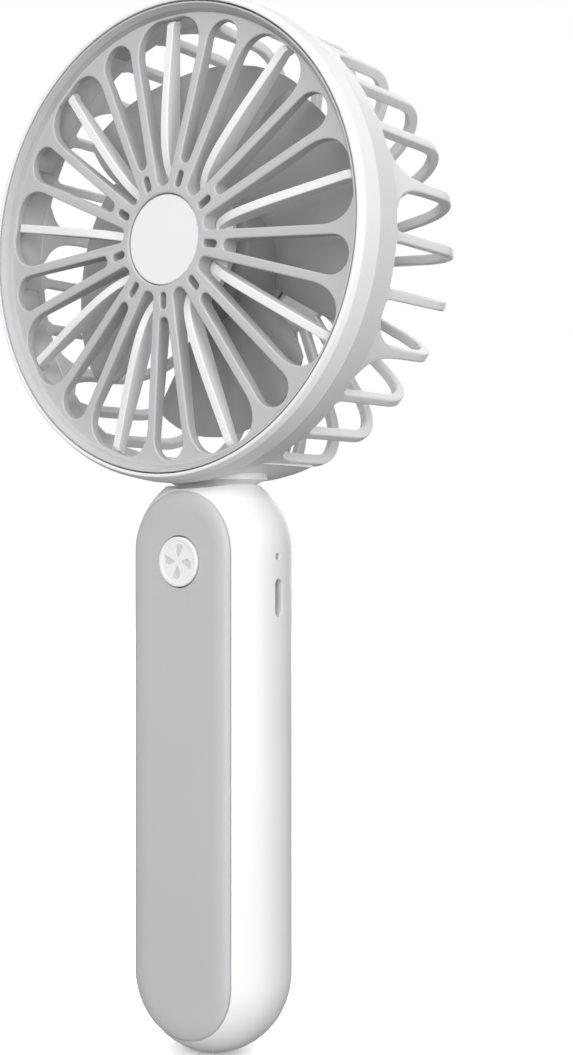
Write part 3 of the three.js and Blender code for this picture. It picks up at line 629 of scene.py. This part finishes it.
def wide_petal(angle):
    """A narrow round inner end, straight sides, and a broad outer end with round corners."""
    def half_at(u):
        return WIDE_INNER_HALF + WIDE_SLOPE * (u - WIDE_INNER)

    lean = math.atan(WIDE_SLOPE)
    right = arc(WIDE_INNER_HALF, math.pi, math.pi / 2 + lean, 10, (WIDE_INNER, 0))[1:]
    ends = [(37, half_at(37)), (41.2, half_at(41.2)), (44.6, half_at(43.6) - 1.9)]
    a, b, c, d = [Vector(p) for p in ends] + [polar(WIDE_OUTER, 0.07)]
    for k in range(15):
        t = k / 14
        right.append(a * (1 - t) ** 3 + b * 3 * t * (1 - t) ** 2 + c * 3 * t * t * (1 - t) + d * t ** 3)
    left = [Vector((p.x, -p.y)) for p in right]
    outline = [Vector((WIDE_INNER - WIDE_INNER_HALF, 0)), *left, *reversed(right)]
    turn = Matrix.Rotation(angle, 2)
    return [turn @ p for p in outline]


def tapered_slot(inner, inner_half, outer, outer_half, angle, steps=14):
    """Two round ends joined by tangent sides, along a direction."""
    lean = math.asin((outer_half - inner_half) / (outer - inner))
    quarter = math.pi / 2
    far = arc(outer_half, angle - quarter - lean, angle + quarter + lean, steps, polar(outer, angle))
    near = arc(inner_half, angle + quarter + lean, angle + 3 * quarter - lean, steps, polar(inner, angle))
    return far + near


def grille_depth(radius):
    """How far the domed face of the grille has fallen away from the hub at a radius."""
    return 0.12 + GRILLE_DOME * radius * radius


def on_dome(x, z, depth):
    """Places a point of the grille's plate, whose front half follows the dome."""
    if depth < GRILLE_BACK / 2:
        depth += grille_depth(math.hypot(x, z))
    return on_head(x, z, depth)


def front_grille():
    holes = [circle(CAP_RADIUS + GAP * 0.6, 96)]
    for angle in FIN_ANGLES:
        between = angle + PETAL_PITCH / 2
        holes.append(wide_petal(angle))
        holes.append(tapered_slot(17.1, 1.2, 41.1, 3.8, between))
        holes.append(tapered_slot(11.55, 0.75, 13.45, 0.75, between, 8))
    plate = slab("grille_face", circle(46.4), holes, 0, GRILLE_BACK, on_dome, 0.35, 0.25)
    cove = [(45.95, grille_depth(45.95) + 0.02, 0.5), (46.4, 1.1, 0.8), (GRILLE_RADIUS - 0.35, 0, 0.1)]
    rim = [(GRILLE_RADIUS, 0, 0.1), (GRILLE_RADIUS, GRILLE_BACK, 0.2)]
    rim += [(45.7, GRILLE_BACK - 0.1, 0), (45.7, 2.6, 0)]
    parts = [turned("lip", filleted(cove + rim))]
    for angle in FIN_ANGLES:
        place = in_radial_plane(angle + PETAL_PITCH / 2)
        hook = [(44.9, 3.6, 0), (46.2, 3.6, 0), (46.2, 9.5, 0.3), (44.9, 8.9, 0.3)]
        parts.append(slab("hook", filleted(hook), [], -2.5, 2.5, place, 0.2, 0.2))
    grille = combined(plate, "UNION", parts)
    finish_piece(grille, "housing", "grey_plastic", "front_grille")


def hub_cap():
    cap = turned("hub_cap_disc", filleted([
        (0, 0.42, 0), (CAP_RADIUS, 0.5, 0.35), (CAP_RADIUS, GRILLE_BACK, 0.2),
        (2.2, GRILLE_BACK, 0.1), (2.2, SPIDER_BACK, 0.2), (0, SPIDER_BACK, 0),
    ]), steps=160)
    finish_piece(cap, "housing", "white_plastic", "hub_cap")


# ---------- fin spider ----------
def bezier(points, steps):
    """A cubic curve through its end points, as steps + 1 points."""
    a, b, c, d = [Vector(p) for p in points]
    return [a * (1 - t) ** 3 + b * 3 * t * (1 - t) ** 2 + c * 3 * t * t * (1 - t) + d * t ** 3
            for t in (k / steps for k in range(steps + 1))]


def fin_outline():
    """Radius and depth of a fin's edge: bowed forwards, slanted at its tip, with a foot behind the rim."""
    seat = GRILLE_BACK + GAP
    front = bezier([(11.3, seat), (13.2, 2), (16.5, 0.62), (22, 0.62)], 16)
    front += bezier([(22, 0.62), (29, 0.62), (37, 1.9), (44.2, 2.6)], 14)[1:]
    foot = [(44.6, 2.8), (45.1, 3.4), (45.1, seat), (46.2, seat), (46.2, 5.6), (44.6, 5.6)]
    foot += [(43.8, 4.9), (16, 4.9), (14.5, 5.6), (8.5, 5.6), (8.5, seat)]
    return front + [Vector(p) for p in foot]


def fin_spider():
    half = FIN_THICKNESS / 2
    seat = GRILLE_BACK + GAP
    disc = turned("fin_disc", filleted([
        (2.5, seat, 0.1), (HUB_RADIUS - 0.2, seat, 0.2),
        (HUB_RADIUS - 0.2, SPIDER_BACK, 0.3), (2.5, SPIDER_BACK, 0.2),
    ]), steps=120)
    fins = [slab("fin", fin_outline(), [], -half, half, in_radial_plane(angle), 0.25, 0.25)
            for angle in FIN_ANGLES]
    finish_piece(combined(disc, "UNION", fins), "housing", "white_plastic", "fin_spider")


# ---------- impeller ----------
def blade(angle):
    """A swept and twisted blade, as closed sections from inside the hub out to a rounded tip."""
    spans, chords, thickness, root = 20, 16, 1.3, 13.2
    rows = [k / spans for k in range(spans + 1)]
    loops = []
    for s in rows:
        radius = root + (IMPELLER_RADIUS - root) * s
        lead = math.radians(66 + 2 * s + 6 * math.sin(math.pi * s))
        trail = math.radians(-12 - 5 * (1 - s) ** 2)
        front, back = 12.2 - 2.6 * s, 23.5 - 2.2 * s
        thin = 1 - 0.75 * max(0, (s - 0.9) / 0.1) ** 2
        edge = []
        for j in range(chords + 1):
            t = (1 - math.cos(math.pi * j / chords)) / 2
            reach = radius * (1 - 0.04 * (2 * t - 1) ** 4 * s)
            x, z = polar(reach, angle + trail + (lead - trail) * (1 - t))
            depth = front + (back - front) * t + 1.6 * math.sin(math.pi * t)
            half = thickness / 2 * thin * (0.2 + 0.8 * math.sqrt(max(0, 1 - (2 * t - 1) ** 6)))
            edge.append((x, z, depth, half))
        loop = [on_head(x, z, depth - half) for x, z, depth, half in edge]
        loop += [on_head(x, z, depth + half) for x, z, depth, half in reversed(edge)]
        loops.append(loop)
    return loft("blade", loops)


def impeller():
    rim = IMPELLER_HUB_RADIUS
    hub = turned("impeller_wheel", filleted([
        (1.3, 9.2, 0.1), (4, 8.8, 0.6), (rim - 2, 9.1, 1.5), (rim, 10.6, 1.2), (rim, 26, 0.4),
        (12.7, 26, 0.3), (12.7, 11, 0.5), (3, 11, 0.3), (3, 12.9, 0.2), (1.3, 12.9, 0.1),
    ]), steps=128)
    wheel = combined(hub, "UNION", [blade(FIRST_BLADE + k * TAU / BLADES) for k in range(BLADES)])
    finish_piece(wheel, "rotor", "blade_plastic", "impeller")


# ---------- handle ----------
def pill_loop(half_width, y, arc_steps=40, rows=10):
    """The handle's slice at one depth: two round ends joined by straight sides, split into short rows."""
    right = arc(half_width, -math.pi / 2, 0, arc_steps // 2, (0, LOWER_CENTRE))
    lift = UPPER_CENTRE - LOWER_CENTRE
    right += [Vector((half_width, LOWER_CENTRE + lift * k / rows)) for k in range(1, rows)]
    right += arc(half_width, 0, math.pi / 2, arc_steps // 2, (0, UPPER_CENTRE))
    left = [Vector((-p.x, p.y)) for p in reversed(right[1:-1])]
    return [Vector((p.x, y, p.y)) for p in right + left]


def shell_loops(inset, rim_y, steps):
    half_width, half_depth = HANDLE_HALF_WIDTH - inset, HANDLE_HALF_DEPTH - inset
    start, end = math.asin(rim_y / half_depth), math.radians(88.5)
    loops = []
    for k in range(steps + 1):
        y = half_depth * math.sin(start + (end - start) * k / steps)
        loops.append(pill_loop(superellipse(half_width, half_depth, y), y))
    return loops


def slot_cutter(half_height, half_width, centre, x0, x1, flare):
    """A slot with round ends along Z, cut in from the +X side, with its mouth rounded over by the flare."""
    loops = []
    rows = [(x1, flare)]
    surface = HANDLE_HALF_WIDTH
    for k in range(5):
        turn = math.pi / 2 * k / 4
        rows.append((surface - flare * (1 - math.cos(turn)), flare * (1 - math.sin(turn))))
    rows.append((x0, 0))
    for x, grow in rows:
        reach = half_height - half_width
        top = arc(half_width + grow, 0, math.pi, 16, (centre.y, centre.z + reach))
        bottom = arc(half_width + grow, math.pi, TAU, 16, (centre.y, centre.z - reach))
        loops.append([Vector((x, p.x, p.y)) for p in top + bottom])
    return loft("slot", loops)


def handle_shell():
    rim = SEAM_Y + GAP / 2
    outer = shell_loops(0, rim + 0.12, 44)
    edge = superellipse(HANDLE_HALF_WIDTH, HANDLE_HALF_DEPTH, rim)
    lips = [pill_loop(edge - 0.14, rim), pill_loop(edge - HANDLE_WALL + 0.2, rim)]
    inner = list(reversed(shell_loops(HANDLE_WALL, rim + 0.2, 20)))
    tub = loft("handle_tub", [*inner, lips[1], lips[0], *outer])
    saddle = rod_y(BAND_RADIUS + 1.1, HEAD.y - 20, HEAD.y + 60, HEAD.x, HEAD.z, 240)
    pocket = loft("pocket", [
        oval_loop(NECK_HALF_WIDTH + GAP, NECK_HALF_DEPTH + GAP, NECK_Y, z, 2.2)
        for z in (NECK_BOTTOM - GAP, NECK_BOTTOM + 4)])
    holes = [
        saddle, pocket, spigot(GAP, NECK_BOTTOM + 1),
        slot_cutter(SLOT_HEIGHT / 2, SLOT_WIDTH / 2, SOCKET_CENTRE, 12, 20, 0.15),
        slot_cutter(PIPE_RADIUS + GAP, PIPE_RADIUS + GAP - 0.01, PIPE_CENTRE, 12, 20, 0.15),
    ]
    middle = SOCKET_CENTRE
    patch = cuboid(
        (socket_high.x + 0.1, middle.y - 3.6, middle.z - 6),
        (HANDLE_HALF_WIDTH - 1, middle.y + 3.6, middle.z + 6))
    shell = combined(combined(tub, "UNION", [patch]), "DIFFERENCE", holes)
    finish_piece(shell, "housing", "white_plastic", "handle_shell")


def front_panel():
    back = SEAM_Y - GAP / 2
    edge = superellipse(HANDLE_HALF_WIDTH, HANDLE_HALF_DEPTH, SEAM_Y)
    rise, crown = back + 0.12 - PANEL_FRONT, edge - PANEL_FLAT_HALF_WIDTH
    loops = [pill_loop(edge - 0.14, back)]
    steps = 18
    for k in range(steps + 1):
        turn = math.pi / 2 * k / steps
        half_width = edge - crown * (1 - math.cos(turn))
        loops.append(pill_loop(half_width, back - 0.12 - rise * math.sin(turn) + 0.24 * math.sin(turn)))
    skin = loft("handle_panel", loops)
    flange = loft("flange", [pill_loop(9.8, back - GAP), pill_loop(9.8, -8.8)])
    skin = combined(skin, "UNION", [flange])
    inside = loft("inside", [pill_loop(8.8, back), pill_loop(8.8, -8)])
    mouth = rod_y(
        BUTTON_RADIUS + 0.22, PANEL_FRONT - 1, -6, BUTTON_CENTRE.x, BUTTON_CENTRE.z, 96, 0.25, PANEL_FRONT)
    finish_piece(combined(skin, "DIFFERENCE", [inside, mouth]), "housing", "grey_plastic", "front_panel")


def swirl_blade(angle):
    """One blade of the button's pictogram: a straight leading edge and a bulging trailing edge."""
    leading = [Vector((0.6 + 3.0 * t, 0.14)) for t in (0, 0.25, 0.5, 0.75, 1)]
    trailing = bezier([(3.6, 0.14), (3.7, 2.3), (1.6, 2.3), (0.6, 0.14)], 14)[1:-1]
    turn = Matrix.Rotation(angle, 2)
    return [turn @ p for p in leading + trailing]


def power_button():
    front = button_low.y
    centre = Vector((BUTTON_CENTRE.x, front, BUTTON_CENTRE.z))
    depth = button_high.y - front
    button = turned("button_disc", filleted([
        (0, 0.1, 0), (BUTTON_RADIUS - 1, 0.1, 0.2), (BUTTON_RADIUS - 0.75, 0, 0.15), (BUTTON_RADIUS, 0, 0.3),
        (BUTTON_RADIUS, depth - 1.2, 0.2), (2, depth - 1.2, 0.1), (2, depth, 0.3), (0, depth, 0),
    ]), centre, 128)

    def place(u, v, w):
        return centre + Vector((u, w, v))

    def lobes(name, front_depth, back_depth):
        angles = [math.radians(64) + k * TAU / 4 for k in range(4)]
        return [slab(name, swirl_blade(angle), [], front_depth, back_depth, place, 0.02, 0.06)
                for angle in angles]

    button = combined(button, "DIFFERENCE", lobes("mark", -1, 0.36))
    finish_piece(button, "button", "white_plastic", "power_button", sharp=50)
    # Painted shade: a darker grey sheet laid in the bottom of the recessed marks stands in for the shade
    # inside the recess.
    shade_lining = lobes("pictogram", 0.27, 0.45)
    finish_piece(combined(shade_lining[0], "UNION", shade_lining[1:]), "button", "inner_plastic")


def usb_socket():
    """The socket's drawn steel shell with rolled corners, and the tongue inside it."""
    half_height = (socket_high.z - socket_low.z) / 2
    half_width = (socket_high.y - socket_low.y) / 2
    x0, x1 = socket_low.x, socket_high.x

    def place(u, v, w):
        return Vector((w, SOCKET_CENTRE.y + v, SOCKET_CENTRE.z + u))

    def outline(inset, corner):
        a, b = half_height - inset, half_width - inset
        return filleted([(-a, -b, corner), (a, -b, corner), (a, b, corner), (-a, b, corner)])

    shell = slab("socket_shell", outline(0, 0.7), [], x0, x1, place, 0.1, 0.15)
    mouth = loft("mouth", [[place(p.x, p.y, x) for p in outline(0.35, 0.45)] for x in (x0 + 0.6, x1 + 1)])
    tongue_edge = filleted([(-2.6, -0.3, 0.1), (2.6, -0.3, 0.1), (2.6, 0.3, 0.1), (-2.6, 0.3, 0.1)])
    tongue = loft("tongue", [[place(p.x, p.y, x) for p in tongue_edge] for x in (x0 + 0.5, x1 - 0.9)])
    shell = combined(shell, "DIFFERENCE", [mouth])
    finish_piece(combined(shell, "UNION", [tongue]), "housing", "steel", "usb_socket")


def light_pipe():
    """The clear pin that carries the charging light, with a domed end."""
    rows = [(0.9, pipe_low.x), (1, pipe_low.x + 0.15)]
    tip = pipe_high.x - 0.25
    rows += [(math.cos(turn), tip + 0.25 * math.sin(turn)) for turn in (0, 0.4, 0.8, 1.2, 1.5)]
    loops = []
    for share, x in rows:
        ring = circle(PIPE_RADIUS * share, 24)
        loops.append([Vector((x, PIPE_CENTRE.y + u, PIPE_CENTRE.z + v)) for u, v in ring])
    finish_piece(loft("pipe_pin", loops), "housing", "light_pipe", "light_pipe")


def dress_frame_nodes():
    """Gives each CAD node that stays in view, or inside, the material of its slot."""
    for row in frame["record"]["subparts"]:
        node = frame["nodes"][row["node"]]
        node.data.materials.clear()
        node.data.materials.append(MATERIALS[row["material_slot"]])


# ---------- camera, light and floor ----------
CAMERA_PLACE = (0.20493, -0.25109, 0.11058)
CAMERA_HEADING = math.radians(36.484)
CAMERA_LENS = 52.03
BACKDROP_BRIGHTNESS = 1.0
FILL_BRIGHTNESS = 0.17
FLOOR_LIGHT = 3.2
LIGHT_SIZE = 0.9
LIGHT_DISTANCE = 1.2
LIGHT_AIM_HEIGHT = 0.12


def add_camera():
    camera = bpy.data.cameras.new("camera")
    camera.sensor_width = 36
    camera.lens = CAMERA_LENS
    camera.clip_start = 0.01
    obj = bpy.data.objects.new("camera", camera)
    obj.location = CAMERA_PLACE
    obj.rotation_euler = (math.pi / 2, 0, CAMERA_HEADING)
    bpy.context.scene.collection.objects.link(obj)
    bpy.context.scene.camera = obj


def soft_light(name, azimuth, elevation, power):
    """A square soft box aimed at the middle of the fan. Azimuth 0 is in front of it, and 90 on its right."""
    light = bpy.data.lights.new(name, "AREA")
    light.size = LIGHT_SIZE
    light.energy = power
    obj = bpy.data.objects.new(name, light)
    a, e = math.radians(azimuth), math.radians(elevation)
    away = Vector((math.sin(a) * math.cos(e), -math.cos(a) * math.cos(e), math.sin(e)))
    obj.location = Vector((0, 0, LIGHT_AIM_HEIGHT)) + away * LIGHT_DISTANCE
    obj.rotation_euler = away.to_track_quat("Z", "Y").to_euler()
    bpy.context.scene.collection.objects.link(obj)


def add_world():
    """A white backdrop that lights the fan only faintly."""
    world = bpy.data.worlds.new("studio")
    bpy.context.scene.world = world
    bpy.context.scene.view_settings.view_transform = "Standard"
    world.use_nodes = True
    tree = world.node_tree
    seen = tree.nodes["Background"]
    seen.inputs["Color"].default_value = (1, 1, 1, 1)
    seen.inputs["Strength"].default_value = BACKDROP_BRIGHTNESS
    felt = tree.nodes.new("ShaderNodeBackground")
    felt.inputs["Color"].default_value = (1, 1, 1, 1)
    felt.inputs["Strength"].default_value = FILL_BRIGHTNESS
    path = tree.nodes.new("ShaderNodeLightPath")
    mix = tree.nodes.new("ShaderNodeMixShader")
    tree.links.new(path.outputs["Is Camera Ray"], mix.inputs["Fac"])
    tree.links.new(felt.outputs[0], mix.inputs[1])
    tree.links.new(seen.outputs[0], mix.inputs[2])
    tree.links.new(mix.outputs[0], tree.nodes["World Output"].inputs["Surface"])


def add_floor():
    """A pale floor that fades into the backdrop, with its own overhead light so it stays even."""
    reach = 8
    mesh = bpy.data.meshes.new("floor")
    corners = [(-reach, -reach, 0), (reach, -reach, 0), (reach, reach, 0), (-reach, reach, 0)]
    mesh.from_pydata(corners, [], [(0, 1, 2, 3)])
    floor = bpy.data.objects.new("floor", mesh)
    bpy.context.scene.collection.objects.link(floor)
    floor.location.z = -0.0002
    floor.visible_diffuse = False
    floor.visible_glossy = False
    surface = Surface("floor")
    surface.link("Base Color", surface.ramp(surface.noise(3), (0.93, 0.93, 0.93), (0.95, 0.95, 0.95)))
    surface.link("Roughness", surface.spread(surface.noise(20), 0.8, 0.9))
    floor.data.materials.append(MATERIALS["floor"])
    sun = bpy.data.lights.new("floor light", "SUN")
    sun.energy = FLOOR_LIGHT
    sun.angle = math.radians(120)
    obj = bpy.data.objects.new("floor light", sun)
    bpy.context.scene.collection.objects.link(obj)
    lit = bpy.data.collections.new("floor only")
    lit.objects.link(floor)
    obj.light_linking.receiver_collection = lit


# ---------- build ----------
add_camera()
make_materials()
add_world()
add_floor()
soft_light("front", 18, 10, 13)
soft_light("right", 80, 10, 9)
soft_light("top", 0, 85, 5.5)
soft_light("back", 205, 15, 6)
soft_light("left", 285, 10, 2)
dress_frame_nodes()
rear_cage()
rear_hub_cap()
front_grille()
hub_cap()
fin_spider()
impeller()
handle_shell()
front_panel()
power_button()
usb_socket()
light_pipe()

bpy.context.view_layer.update()
